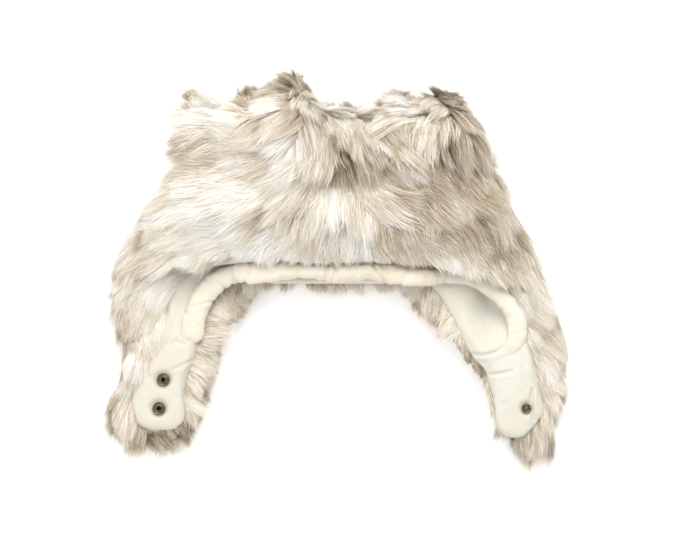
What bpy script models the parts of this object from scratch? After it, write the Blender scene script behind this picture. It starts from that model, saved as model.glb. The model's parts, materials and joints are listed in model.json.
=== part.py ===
"""Faux-fur trapper hat lying on its back, ear flaps spread open, lining up.

Axes: +Z up off the table, +Y towards the top of the crown, +X across the hat.
Each layer of the soft shell (fur with its backing, wadding, lining) is a solid of its own.
"""
import math

import bmesh
import bpy
import numpy as np

MM = 0.001

# Overall sizes, in mm
CROWN_WIDTH = 384.0      # across the fur at the brim
CROWN_TAPER = 0.74       # width at the shoulder over width at the brim
CROWN_HEIGHT = 150.0     # brim to top edge, along Y
TOP_PANEL = 44.0         # depth of the top panel along Y
CROWN_SHOULDER = CROWN_HEIGHT - TOP_PANEL
CROWN_CENTRE_X = -8.0
SPLIT_Z = 34.0           # height of the side seam over the table
FRONT_RISE = 84.0        # fur top over the side seam at mid crown
FRONT_RISE_BRIM = 0.44   # share of it left at the brim
LEFT_CREST = 30.0        # how far each crest of the top panel stands out
RIGHT_CREST = 13.0

# Layers of the crown's shell, as (side inset mm, top inset mm, share of rise, share of drop)
FUR_OUT = (0.0, 0.0, 1.0, 1.0)
FUR_IN = (28.0, 24.0, 0.62, 0.62)
WADDING_IN = (35.0, 30.0, 0.52, 0.47)
LINING_IN = (37.0, 32.0, 0.49, 0.42)
GAP = 0.3

# Ear flaps
HINGE_Y = -12.0
HINGE_Z = 25.5
FLAP_LENGTH = 167.6
FLAP_SPREAD = 213.0      # outermost fur from the middle of the hat
FLAP_PAD = 40.0          # height of the padded lining, flat where the snaps sit
FLAP_PILE = 14.0         # fur pressed under the lining
LINING_THICK = 1.2

# Flap edges by share of length, each as a share of FLAP_SPREAD:
# (length, fur outside, fur inside, lining outside, lining inside)
LEFT_EDGES = (
    (0.00, -0.953, -0.474, -0.718, -0.498),
    (0.11, -0.977, -0.474, -0.742, -0.554),
    (0.27, -0.967, -0.488, -0.765, -0.587),
    (0.45, -0.944, -0.531, -0.840, -0.615),
    (0.59, -0.972, -0.563, -0.892, -0.653),
    (0.71, -1.000, -0.596, -0.901, -0.662),
    (0.80, -0.995, -0.629, -0.880, -0.680),
    (0.85, -0.981, -0.653, -0.831, -0.719),
    (0.93, -0.925, -0.709, -0.831, -0.719),
    (1.00, -0.850, -0.775, -0.831, -0.719),
)
RIGHT_EDGES = (
    (0.00, 0.892, 0.394, 0.779, 0.413),
    (0.11, 0.925, 0.404, 0.808, 0.455),
    (0.27, 0.981, 0.460, 0.840, 0.521),
    (0.45, 1.001, 0.549, 0.864, 0.582),
    (0.59, 1.000, 0.615, 0.878, 0.653),
    (0.71, 0.972, 0.657, 0.892, 0.681),
    (0.80, 0.967, 0.685, 0.873, 0.704),
    (0.86, 0.967, 0.718, 0.831, 0.742),
    (0.93, 0.965, 0.765, 0.831, 0.742),
    (1.00, 0.930, 0.836, 0.831, 0.742),
)
LEFT_LINING_END = 0.85
RIGHT_LINING_END = 0.86
LEFT_SNAPS = (("upper", -0.758, 0.555), ("lower", -0.777, 0.715))
RIGHT_SNAP = (0.822, 0.715)

# Ring snaps
SOCKET_R = 6.2
SOCKET_HIGH = 3.2
STUD_BASE_R = 4.75
STUD_R = 2.0
BORE_R = 2.25
SPRING_ROOM = 1.15       # depth of the groove for the spring ring
WIRE_R = 0.28
COLLAR_WALL = 0.65
COLLAR_R = BORE_R + COLLAR_WALL
FLANGE_WIDE = 2.1
FLANGE_R = COLLAR_R + FLANGE_WIDE
FLANGE_THICK = 0.8
HOLE_CLEARANCE = 0.35


def clear_scene():
    for old in list(bpy.data.objects):
        bpy.data.objects.remove(old, do_unlink=True)


def material(name, colour, rough, metallic=0.0):
    made = bpy.data.materials.new(name)
    made.use_nodes = True
    shader = made.node_tree.nodes["Principled BSDF"]
    shader.inputs["Base Color"].default_value = (*colour, 1.0)
    shader.inputs["Roughness"].default_value = rough
    shader.inputs["Metallic"].default_value = metallic
    return made


def smooth(t):
    t = min(1.0, max(0.0, t))
    return t * t * (3.0 - 2.0 * t)


def curve(rows, t, column):
    """Smooth value of one column of a table at t."""
    xs = [row[0] for row in rows]
    ys = [row[column] for row in rows]
    k = max(0, min(len(xs) - 2, int(np.searchsorted(xs, t, side="right")) - 1))
    slope = []
    for i in (k, k + 1):
        lo, hi = max(0, i - 1), min(len(xs) - 1, i + 1)
        slope.append((ys[hi] - ys[lo]) / (xs[hi] - xs[lo]))
    h = xs[k + 1] - xs[k]
    u = (t - xs[k]) / h
    return ((2 * u ** 3 - 3 * u ** 2 + 1) * ys[k] + (u ** 3 - 2 * u ** 2 + u) * h * slope[0]
            + (3 * u ** 2 - 2 * u ** 3) * ys[k + 1] + (u ** 3 - u ** 2) * h * slope[1])


def add_body(name, verts, faces, mat, parent=None):
    mesh = bpy.data.meshes.new(name)
    bm = bmesh.new()
    made = [bm.verts.new([c * MM for c in v]) for v in verts]
    for face in faces:
        bm.faces.new([made[i] for i in face])
    bmesh.ops.remove_doubles(bm, verts=bm.verts, dist=1e-7)
    bmesh.ops.recalc_face_normals(bm, faces=bm.faces)
    bm.to_mesh(mesh)
    bm.free()
    mesh.materials.append(mat)
    body = bpy.data.objects.new(name, mesh)
    bpy.context.scene.collection.objects.link(body)
    if parent is not None:
        body.parent = parent
        body.matrix_parent_inverse = parent.matrix_world.inverted()
    return body


def slab(name, top, bottom, mat, parent=None, ring=False, closed_end=False):
    """Closed solid between two grids of points with the same rows and columns."""
    rows, cols = len(top), len(top[0])
    verts = [p for grid in (top, bottom) for row in grid for p in row]

    def at(side, i, j):
        return side * rows * cols + i * cols + j % cols

    faces = []
    for i in range(rows - 1):
        for j in range(cols if ring else cols - 1):
            faces.append((at(0, i, j), at(0, i, j + 1), at(0, i + 1, j + 1), at(0, i + 1, j)))
            faces.append((at(1, i, j), at(1, i + 1, j), at(1, i + 1, j + 1), at(1, i, j + 1)))
    ends = (0,) if closed_end else (0, rows - 1)
    for i in ends:
        for j in range(cols if ring else cols - 1):
            faces.append((at(0, i, j), at(0, i, j + 1), at(1, i, j + 1), at(1, i, j)))
    if not ring:
        for j in (0, cols - 1):
            for i in range(rows - 1):
                faces.append((at(0, i, j), at(0, i + 1, j), at(1, i + 1, j), at(1, i, j)))
    return add_body(name, verts, faces, mat, parent)


# ---- Crown -------------------------------------------------------------------------------------

def half_width(y):
    share = min(1.0, max(-0.12, y / CROWN_SHOULDER))
    return 0.5 * CROWN_WIDTH * (1.0 - (1.0 - CROWN_TAPER) * share)


def rise(y):
    """Height of the fur over the side seam, low at the brim and full from mid crown."""
    t = (y + 10.0) / (0.55 * CROWN_HEIGHT)
    return FRONT_RISE * (FRONT_RISE_BRIM + (1.0 - FRONT_RISE_BRIM) * smooth(t))


def seam_z(y):
    return SPLIT_Z + 14.0 * smooth((y - 0.6 * CROWN_SHOULDER) / (CROWN_HEIGHT - 0.6 * CROWN_SHOULDER))


def crest(x):
    left = LEFT_CREST * math.exp(-((x + 45.0) / 30.0) ** 4)
    right = RIGHT_CREST * math.exp(-((x - 84.0) / 42.0) ** 4)
    corner = 0.25 * LEFT_CREST * math.exp(-((x + 132.0) / 12.0) ** 2)
    return left + right + corner


def section(y, turn, layer, extra):
    """Offset from the seam's middle of the shell's section at y: turn 0..pi is the front."""
    side, _, up, down = layer
    power = 2.0 / 2.35
    c, s = math.cos(turn), math.sin(turn)
    x = (half_width(y) - side - extra) * math.copysign(abs(c) ** power, c)
    if s >= 0.0:
        z = (rise(y) * up - extra) * s ** power
    else:
        z = -(SPLIT_Z * down - (extra if layer is not FUR_OUT else 0.0)) * min(1.0, 1.25 * (-s) ** power)
    return x, z


def front_edge(x):
    return 2.0 - 6.0 * smooth((-x - 70.0) / 60.0) - 4.0 * smooth((x - 60.0) / 70.0)


def back_edge(x):
    left = smooth((-x - 58.0) / 20.0)
    right = smooth((x - 42.0) / 20.0)
    return -22.0 + (22.0 + HINGE_Y + 0.5) * max(left, right)


def shell_half(name, outer, inner, extra, front, mat):
    cols, rows = 22, 9
    grids = []
    for layer, more in ((outer, extra[0]), (inner, extra[1])):
        grid = []
        for i in range(rows):
            line = []
            for j in range(cols):
                turn = math.pi * j / (cols - 1)
                x0 = section(0.0, turn, layer, more)[0] + CROWN_CENTRE_X
                edge = front_edge(x0) if front else back_edge(x0)
                y = edge + (CROWN_SHOULDER - 0.2 - edge) * i / (rows - 1)
                x, z = section(y, turn if front else -turn, layer, more)
                lift = 0.5 * GAP if front else -0.5 * GAP
                line.append((x + CROWN_CENTRE_X, y, max(0.0, seam_z(y) + lift + z)
                             if front else floor_z(y, z, lift)))
            grid.append(line)
        grids.append(grid)
    slab(name, grids[0], grids[1], mat)


def floor_z(y, z, lift):
    """Back half: keeps the flat underside on the table although the side seam rises."""
    share = -z / SPLIT_Z
    return max(0.0, seam_z(y) + lift - share * (seam_z(y) + lift))


def shell_top(name, outer, inner, extra, mat):
    cols, rows = 40, 7
    grids = []
    for layer, more in ((outer, extra[0]), (inner, extra[1])):
        grid = []
        for i in range(rows):
            u = i / (rows - 1)
            line = []
            for j in range(cols):
                turn = 2.0 * math.pi * j / cols
                x, z = section(CROWN_SHOULDER, turn, layer, more)
                x = x * (1.0 - 0.10 * u * u) + CROWN_CENTRE_X
                inset = layer[1]
                start = CROWN_SHOULDER + 0.2
                end = CROWN_HEIGHT - inset - more + crest(x) * max(0.15, 1.0 - inset / 26.0)
                y = start + (end - start) * math.sin(0.5 * math.pi * u)
                close = math.cos(0.5 * math.pi * u) if i < rows - 1 else 0.0
                base = seam_z(y)
                if z >= 0.0:
                    height = base + z * close
                else:
                    height = base + z / SPLIT_Z * base * close
                line.append((x, y, height))
            grid.append(line)
        grids.append(grid)
    slab(name, grids[0], grids[1], mat, ring=True, closed_end=True)


def make_crown(fur, wadding, lining):
    layers = (("fur", FUR_OUT, FUR_IN, (0.0, 0.0), fur),
              ("wadding", FUR_IN, WADDING_IN, (GAP, 0.0), wadding),
              ("lining", WADDING_IN, LINING_IN, (GAP, GAP), lining))
    for kind, outer, inner, extra, mat in layers:
        shell_half("crown_front_" + kind, outer, inner, extra, True, mat)
        shell_half("crown_back_" + kind, outer, inner, extra, False, mat)
        shell_top("crown_top_" + kind, outer, inner, extra, mat)


def make_roll(cover_mat, filling_mat):
    """Band of lining that rolls out under the front edge, open at both ends."""
    left, right, deep, high = -97.0, 80.0, 9.0, 5.6
    cols, rows = 12, 11
    grids = {}
    for key, shrink in (("out", 0.0), ("in", 1.0), ("core", 1.0 + GAP)):
        grid = []
        for i in range(rows):
            x = left + (right - left) * i / (rows - 1)
            ease = 0.80 + 0.20 * math.sin(math.pi * i / (rows - 1)) ** 0.5
            share = min(0.98, abs(x - CROWN_CENTRE_X) / (half_width(0.0) - LINING_IN[0]))
            under = seam_z(0.0) + (rise(-4.0) * LINING_IN[2] - 2.0 * GAP) * (1.0 - share ** 2.35) ** (1 / 2.35)
            line = []
            for j in range(cols):
                turn = 2.0 * math.pi * j / cols
                line.append((x, -7.5 + (deep * ease - shrink) * math.cos(turn),
                             under - high - 1.6 + (high * ease - shrink) * math.sin(turn)))
            grid.append(line)
        grids[key] = grid
    slab("forehead_roll_cover", grids["out"], grids["in"], cover_mat, ring=True)
    verts = [p for row in grids["core"] for p in row]
    faces = [(i * cols + j, i * cols + (j + 1) % cols, (i + 1) * cols + (j + 1) % cols, (i + 1) * cols + j)
             for i in range(rows - 1) for j in range(cols)]
    faces.append(tuple(range(cols)))
    faces.append(tuple((rows - 1) * cols + j for j in range(cols)))
    add_body("forehead_roll_filling", verts, faces, filling_mat)


# ---- Ear flaps ---------------------------------------------------------------------------------

def pad_height(t, end):
    """Top of the padded lining along the flap: low at the fold, flat at the snaps."""
    grow = smooth(t / 0.42)
    fall = smooth((t - 0.78) / (end - 0.74))
    return HINGE_Z - 1.5 + (FLAP_PAD - HINGE_Z + 1.5) * grow - 6.0 * fall


def make_flap(side, edges, end, pivot, fur, wadding, lining):
    shares = [0.0, 0.06, 0.13, 0.21, 0.30, 0.39, 0.46, 0.53, 0.60, 0.67, 0.74, 0.79, end]
    across = (0.0, 0.08, 0.2, 0.4, 0.6, 0.8, 0.92, 1.0)
    drop = (5.0, 1.5, 0.0, 0.0, 0.0, 0.0, 1.5, 5.0)

    def edge(t, column):
        return curve(edges, t, column) * FLAP_SPREAD

    def flap_y(t):
        return HINGE_Y - 0.5 - t * (FLAP_LENGTH - 0.5)

    rows = {"lining_top": [], "lining_low": [], "wadding_top": [], "wadding_low": []}
    for t in shares:
        lo, li = edge(t, 3), edge(t, 4)
        high = pad_height(t, end)
        lines = {key: [] for key in rows}
        for w, d in zip(across, drop):
            x, y = lo + (li - lo) * w, flap_y(t)
            lines["lining_top"].append((x, y, high - d))
            lines["lining_low"].append((x, y, high - d - LINING_THICK))
            lines["wadding_top"].append((x, y, high - d - LINING_THICK - GAP))
            lines["wadding_low"].append((x, y, FLAP_PILE + GAP))
        for key, line in lines.items():
            rows[key].append(line)
    slab(side + "_flap_lining", rows["lining_top"], rows["lining_low"], lining, pivot)
    slab(side + "_flap_wadding", rows["wadding_top"], rows["wadding_low"], wadding, pivot)

    beyond = [end + (1.0 - end) * s for s in (0.30, 0.60, 0.82, 1.0)]
    steps = [(t, flap_y(t), True) for t in shares]
    steps += [(end, flap_y(end) - GAP - 0.1, True), (end, flap_y(end) - GAP - 0.9, False)]
    steps += [(t, flap_y(t), False) for t in beyond]
    top, low = [], []
    for t, y, padded in steps:
        fo, fi = edge(t, 1), edge(t, 2)
        lt = min(t, end)
        shrink = 1.0 if t <= end else max(0.15, 1.0 - (t - end) / (1.0 - end))
        mid = 0.5 * (fo + fi) if t > end else 0.0
        lo, li = edge(lt, 3), edge(lt, 4)
        if t > end:
            centre = 0.5 * (lo + li) + (mid - 0.5 * (lo + li)) * (1.0 - shrink)
            reach = 0.45 * abs(fo - fi)
            half = min(0.5 * abs(li - lo) * (0.4 + 0.6 * shrink), 0.5 * reach)
            way = math.copysign(1.0, li - lo)
            lo, li = centre - way * half, centre + way * half
        out = math.copysign(1.0, lo - li)
        rim = max(FLAP_PILE + 2.0, pad_height(lt, end) - 4.0) * (1.0 if t <= end else 0.72 + 0.28 * shrink)
        edge_z = 0.5 * rim
        columns = [(fo, edge_z + 4.0, edge_z - 4.0),
                   (fo + (lo - fo) * 0.35, rim - 2.0, 0.0),
                   (lo + out * 0.9, rim, 0.0),
                   (lo + out * 0.4, None, 0.0)]
        columns += [(lo + (li - lo) * w, None, 0.0) for w in (0.25, 0.5, 0.75)]
        columns += [(li - out * 0.4, None, 0.0), (li - out * 0.9, rim, 0.0),
                    (fi + (li - fi) * 0.35, rim - 2.0, 0.0), (fi, edge_z + 4.0, edge_z - 4.0)]
        last = t >= 1.0
        top.append([(x, y, (FLAP_PILE if padded else rim) if z is None else z) for x, z, _ in columns])
        low.append([(x, y, (z + (0.4 * rim if last and z == 0.0 else 0.0))) for x, _, z in columns])
        if last:
            top[-1] = [(x, y, min(z, 0.75 * rim)) for x, y, z in top[-1]]
    slab(side + "_flap_fur", top, low, fur, pivot)


# ---- Snaps -------------------------------------------------------------------------------------

def lathe(name, x, y, profile, mat, pivot, count=20):
    """Ring turned about a vertical axis through (x, y) from a closed profile of (radius, z)."""
    solid = profile[0][0] == 0.0
    verts, faces = [], []
    rings = [p for p in profile if p[0] > 0.0]
    for r, z in rings:
        for k in range(count):
            a = 2.0 * math.pi * k / count
            verts.append((x + r * math.cos(a), y + r * math.sin(a), z))
    total = len(rings)
    for i in range(total if not solid else total - 1):
        n = (i + 1) % total
        for k in range(count):
            m = (k + 1) % count
            faces.append((i * count + k, i * count + m, n * count + m, n * count + k))
    if solid:
        faces.append(tuple(range(count)))
        faces.append(tuple((total - 1) * count + k for k in range(count)))
    return add_body(name, verts, faces, mat, pivot)


def cut(target, name, x, y, radius, low, high, pivot):
    verts, faces = [], []
    count = 20
    for z in (low, high):
        for k in range(count):
            a = 2.0 * math.pi * k / count
            verts.append((x + radius * math.cos(a), y + radius * math.sin(a), z))
    faces = [(k, (k + 1) % count, count + (k + 1) % count, count + k) for k in range(count)]
    faces += [tuple(range(count)), tuple(range(count, 2 * count))]
    cutter = add_body(name, verts, faces, target.data.materials[0], pivot)
    cutter.hide_render = True
    cutter.display_type = "WIRE"
    change = target.modifiers.new(name, "BOOLEAN")
    change.operation = "DIFFERENCE"
    change.solver = "EXACT"
    change.object = cutter


def seat(side, tag, x, y, pivot):
    """Hole through the lining and pocket in the wadding for a snap's prong ring."""
    lining = bpy.data.objects[side + "_flap_lining"]
    wadding = bpy.data.objects[side + "_flap_wadding"]
    cut(lining, f"cut_{side}_{tag}_hole", x, y, COLLAR_R + HOLE_CLEARANCE, FLAP_PAD - 6.0, FLAP_PAD + 2.0, pivot)
    under = FLAP_PAD - LINING_THICK - GAP
    cut(wadding, f"cut_{side}_{tag}_pocket", x, y, FLANGE_R + 0.4, under - FLANGE_THICK - GAP,
        FLAP_PAD + 2.0, pivot)


def prong_ring(name, x, y, mat, pivot):
    top = FLAP_PAD - LINING_THICK - GAP
    profile = [(BORE_R, top - FLANGE_THICK), (FLANGE_R, top - FLANGE_THICK), (FLANGE_R, top),
               (COLLAR_R, top), (COLLAR_R, FLAP_PAD + 0.9), (BORE_R, FLAP_PAD + 0.9)]
    lathe(name, x, y, profile, mat, pivot)


def socket(tag, x, y, brass, steel, pivot):
    z = FLAP_PAD + GAP
    groove_r, wire_r = BORE_R + SPRING_ROOM, WIRE_R
    web = SOCKET_R - groove_r - 0.5
    profile = [(COLLAR_R + 0.3, z), (SOCKET_R - 0.5, z), (SOCKET_R, z + 0.5), (SOCKET_R, z + 1.5),
               (SOCKET_R - 0.35 * web, z + 2.3), (SOCKET_R - 0.8 * web, z + 2.4), (groove_r + 0.5, z + SOCKET_HIGH),
               (BORE_R + 0.3, z + SOCKET_HIGH), (BORE_R, z + SOCKET_HIGH - 0.3), (BORE_R, z + 2.55),
               (groove_r, z + 2.55), (groove_r, z + 1.45), (BORE_R, z + 1.45), (BORE_R, z + 0.95),
               (COLLAR_R + 0.3, z + 0.95)]
    lathe(f"left_{tag}_socket", x, y, profile, brass, pivot)
    ring_r, count, sides = 0.5 * (BORE_R + groove_r) - 0.02, 20, 6
    verts, faces = [], []
    for i in range(count):
        a = math.radians(20.0 + 320.0 * i / (count - 1))
        for k in range(sides):
            b = 2.0 * math.pi * k / sides
            r = ring_r + wire_r * math.cos(b)
            verts.append((x + r * math.cos(a), y + r * math.sin(a), z + 2.0 + wire_r * math.sin(b)))
    for i in range(count - 1):
        for k in range(sides):
            m = (k + 1) % sides
            faces.append((i * sides + k, i * sides + m, (i + 1) * sides + m, (i + 1) * sides + k))
    faces += [tuple(range(sides)), tuple((count - 1) * sides + k for k in range(sides))]
    add_body(f"left_{tag}_spring", verts, faces, steel, pivot)


def stud(x, y, brass, pivot):
    z = FLAP_PAD + GAP
    profile = [(0.0, z + 0.95), (COLLAR_R + 0.3, z + 0.95), (COLLAR_R + 0.3, z), (STUD_BASE_R - 0.3, z),
               (STUD_BASE_R, z + 0.3), (STUD_BASE_R, z + 0.9), (STUD_BASE_R - 0.3, z + 1.5),
               (STUD_R + 0.5, z + 1.7), (STUD_R - 0.35, z + 2.1), (STUD_R - 0.2, z + 3.0),
               (STUD_R, z + 3.5), (STUD_R - 0.2, z + 4.1), (STUD_R - 0.9, z + 4.5)]
    lathe("right_stud", x, y, profile, brass, pivot)


def flap_place(share_x, t):
    return share_x * FLAP_SPREAD, HINGE_Y - 0.5 - t * (FLAP_LENGTH - 0.5)


def pivot_at(name, x):
    pivot = bpy.data.objects.new(name, None)
    pivot.location = (x * MM, HINGE_Y * MM, HINGE_Z * MM)
    bpy.context.scene.collection.objects.link(pivot)
    bpy.context.view_layer.update()
    return pivot


def main():
    clear_scene()
    fur = material("fur", (0.62, 0.52, 0.40), 0.9)
    wadding = material("wadding", (0.86, 0.85, 0.82), 0.95)
    lining = material("lining", (0.83, 0.76, 0.62), 0.85)
    brass = material("antique_brass", (0.33, 0.27, 0.19), 0.35, 1.0)
    steel = material("spring_steel", (0.52, 0.52, 0.52), 0.3, 1.0)

    make_crown(fur, wadding, lining)
    make_roll(lining, wadding)

    left = pivot_at("left_flap_axis", -0.71 * FLAP_SPREAD)
    right = pivot_at("right_flap_axis", 0.64 * FLAP_SPREAD)
    make_flap("left", LEFT_EDGES, LEFT_LINING_END, left, fur, wadding, lining)
    make_flap("right", RIGHT_EDGES, RIGHT_LINING_END, right, fur, wadding, lining)
    for tag, share_x, t in LEFT_SNAPS:
        x, y = flap_place(share_x, t)
        seat("left", tag, x, y, left)
        socket(tag, x, y, brass, steel, left)
        prong_ring(f"left_{tag}_prong_ring", x, y, brass, left)
    x, y = flap_place(*RIGHT_SNAP)
    seat("right", "stud", x, y, right)
    stud(x, y, brass, right)
    prong_ring("right_prong_ring", x, y, brass, right)


main()
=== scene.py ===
"""Trapper hat laid on its back with its ear flaps spread: long-pile fur, padded lining, ring snaps."""
import json
import math

import bmesh
import bpy
import numpy as np
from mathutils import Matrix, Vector, noise

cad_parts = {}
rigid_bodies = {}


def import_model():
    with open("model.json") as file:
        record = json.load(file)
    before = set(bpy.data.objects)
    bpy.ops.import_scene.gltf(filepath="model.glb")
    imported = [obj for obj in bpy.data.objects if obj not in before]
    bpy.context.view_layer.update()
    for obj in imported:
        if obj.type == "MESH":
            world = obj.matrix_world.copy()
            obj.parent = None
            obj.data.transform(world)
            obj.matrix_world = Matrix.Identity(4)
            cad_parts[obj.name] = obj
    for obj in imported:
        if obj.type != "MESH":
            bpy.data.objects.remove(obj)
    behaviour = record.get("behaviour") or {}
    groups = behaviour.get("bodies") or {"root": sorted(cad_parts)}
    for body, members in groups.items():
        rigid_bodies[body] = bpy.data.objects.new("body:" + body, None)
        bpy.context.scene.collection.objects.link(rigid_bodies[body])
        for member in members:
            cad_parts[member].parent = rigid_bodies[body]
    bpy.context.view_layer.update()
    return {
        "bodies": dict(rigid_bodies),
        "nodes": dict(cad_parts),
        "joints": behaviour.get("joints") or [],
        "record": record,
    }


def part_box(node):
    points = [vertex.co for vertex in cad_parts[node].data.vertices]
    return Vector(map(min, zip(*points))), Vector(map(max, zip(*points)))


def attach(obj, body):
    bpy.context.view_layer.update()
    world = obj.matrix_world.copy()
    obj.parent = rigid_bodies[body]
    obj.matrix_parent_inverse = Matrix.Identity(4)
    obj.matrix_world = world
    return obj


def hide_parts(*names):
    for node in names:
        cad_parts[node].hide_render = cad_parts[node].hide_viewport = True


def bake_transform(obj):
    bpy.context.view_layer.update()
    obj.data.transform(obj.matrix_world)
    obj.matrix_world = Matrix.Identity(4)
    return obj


MM = 0.001
# Sizes in mm, in the frame of the part
CENTRE_X = -8.0  # middle of the crown
SHOULDER = 106.0  # where the front panel meets the top panel, along Y
SHOULDER_SHARE = 0.74  # share of the way from brim to top at the shoulder
SEAM_Z = 34.0  # height of the side seam at the brim
FRONT_RISE = 84.0  # front skin over the side seam at mid crown
FRONT_RISE_BRIM = 0.44  # share of it at the brim, and what the shoulder adds
FRONT_RISE_ADDED = 0.56
HINGE_Y = -12.0  # line that the flaps fold about
FLAP_REACH = 165.0  # about a flap's length, which sets how soon its lining levels out
PAD_DEEP = 6.0  # half the thickness of a flap's lining
SEAT_Z = 40.1  # flat face of the lining under a snap
CREASE_DEPTH = 1.4  # how much deeper than drawn the fold lines are pressed
STRAND_WIDTH = 0.42
STRANDS_PER_CLUMP = 24
BATCH = 2000  # clumps matched to their locks at a time
STUFFING_FRAMES = 20
STUD_MARKS = 8
MARK_RING = 2.75  # radius of the ring of marks on the stud
PIECE_TRIANGLES = 200000  # most triangles in one piece of pile
FLOOR_HALF = 6.0  # half the floor's side, in metres
IMAGE_WIDTH = 680
METRES_PER_PIXEL = 0.00092
SENSOR_WIDTH = 36.0

# Which way the pile lies, seen from above: x, y in mm and a direction
COMB = (
    (-130, 156, -0.1, 1), (-118, 150, -0.35, 0.9), (-104, 146, -0.5, 0.7), (-106, 134, -1, -0.05),
    (-111, 125, -1, -0.2), (-139, 107, -0.9, -0.4), (-80, 157, 0.1, 1), (-82, 142, -0.3, 0.6),
    (-64, 162, -0.6, 0.25), (-44, 170, -0.3, 0.7), (-31, 162, 0.45, 0.5), (-46, 152, -0.85, -0.1),
    (-34, 146, -0.3, -0.8), (-20, 144, 0.15, -0.9), (-56, 140, -0.7, -0.5), (-47, 122, -0.95, -0.1),
    (-90, 100, -1, -0.1), (-90, 82, -1, -0.2), (-142, 85, -1, -0.3), (-96, 42, -1, -0.25),
    (-151, 36, -0.9, -0.5), (-110, 20, -0.75, -0.65), (-60, 64, -0.9, -0.4), (-50, 45, -0.7, -0.7),
    (-42, 82, -0.8, -0.6), (-28, 66, -0.5, -0.85), (-12, 60, -0.15, -1), (2, 50, 0, -1), (15, 58, 0.35, -1),
    (-7, 18, 0, -1), (27, 30, 0.3, -1), (42, 61, 0.6, -0.8), (30, 82, 0.75, -0.5), (73, 42, 0.7, -0.75),
    (58, 88, 0.85, -0.55), (104, 67, 0.8, -0.6), (134, 30, 0.7, -0.75), (88, 18, 0.4, -0.9),
    (84, 110, 0.4, -0.9), (104, 128, 0.1, -1), (88, 138, -0.5, -0.85), (72, 142, -0.9, -0.45),
    (120, 134, 0.45, -0.9), (98, 162, -0.3, 1), (84, 158, -0.9, 0.2), (112, 158, 0.1, 1),
    (124, 146, 0.75, -0.4), (50, 158, -0.5, 0.9), (-4, 162, 0.1, 1), (24, 162, 0.1, 1), (0, 141, 0.0, -1),
    (24, 140, 0.2, -1), (-22, 128, 0.2, -0.95), (-28, 98, -0.85, -0.5), (-10, 106, -0.3, -0.95),
    (14, 112, 0.35, -0.95), (36, 104, 0.8, -0.6), (143, 97, 0.8, -0.6), (165, 51, 0.7, -0.7),
    (-169, 61, -0.9, -0.45), (-185, 18, -0.7, -0.7), (-140, 10, -0.75, -0.65), (-80, 12, -0.5, -0.85),
    (-34, 9, -0.1, -1), (-160, -14, -0.6, -0.8), (-192, -30, -0.4, -0.9), (-176, -50, -0.25, -1),
    (-196, -66, -0.1, -1), (-186, -88, -0.4, -0.9), (-200, -104, -0.65, -0.75), (-206, -126, -0.5, -0.85),
    (-196, -148, -0.3, -1), (-178, -160, -0.1, -1), (-158, -158, 0.25, -1), (-142, -144, 0.6, -0.8),
    (-134, -120, 0.75, -0.65), (-126, -98, 0.85, -0.5), (-117, -80, 0.95, -0.25), (-111, -58, 1, 0),
    (-103, -38, 0.8, -0.6), (-88, -22, 0.3, -0.95), (-50, -20, -0.1, -1), (0, -20, 0.05, -1),
    (46, -20, 0.1, -1), (74, -22, -0.25, -0.95), (150, -10, 0.65, -0.75), (190, -20, 0.6, -0.8),
    (176, -44, 0.5, -0.85), (200, -74, 0.6, -0.8), (204, -98, 0.5, -0.85), (200, -120, 0.35, -0.95),
    (194, -142, 0.35, -0.95), (198, -160, 0.05, -1), (176, -164, -0.1, -1), (156, -154, -0.35, -0.95),
    (143, -130, -0.3, -0.95), (136, -108, -0.3, -0.95), (122, -85, -0.5, -0.85), (106, -60, -0.6, -0.8),
    (90, -38, -0.5, -0.85),
)
# Pale and dark patches of the pile: x, y, radius in mm, and how much
PALE = (
    (-108, 136, 18, 0.9), (-94, 141, 9, 1.0), (-120, 126, 13, 0.6), (-47, 107, 17, 0.7), (-90, 64, 24, 1.1),
    (-126, 40, 32, 0.75), (-50, 30, 24, 0.8), (-88, 28, 22, 0.8), (-8, 64, 12, 0.8), (26, 68, 11, 0.7),
    (14, 34, 20, 0.8), (-34, 73, 14, 0.6), (72, 128, 11, 0.45), (56, 144, 8, 0.7), (80, 112, 8, 0.3),
    (-168, -14, 20, 0.6), (-176, -50, 15, 1.0), (-157, -62, 12, 0.8), (177, -31, 18, 0.6),
    (203, -86, 14, 0.55), (14, 152, 26, 1.0), (-4, 150, 16, 0.8), (42, 136, 8, 0.5), (-112, -90, 9, 0.8),
    (-110, -58, 10, 0.6), (-115, -74, 9, 0.5), (-116, -112, 9, 0.5), (-180, -122, 12, 0.4),
    (60, 8, 18, 0.5), (-120, 74, 18, 0.5), (110, 12, 14, 0.5), (101, 46, 9, 0.5), (150, 42, 9, 0.4),
)
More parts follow.
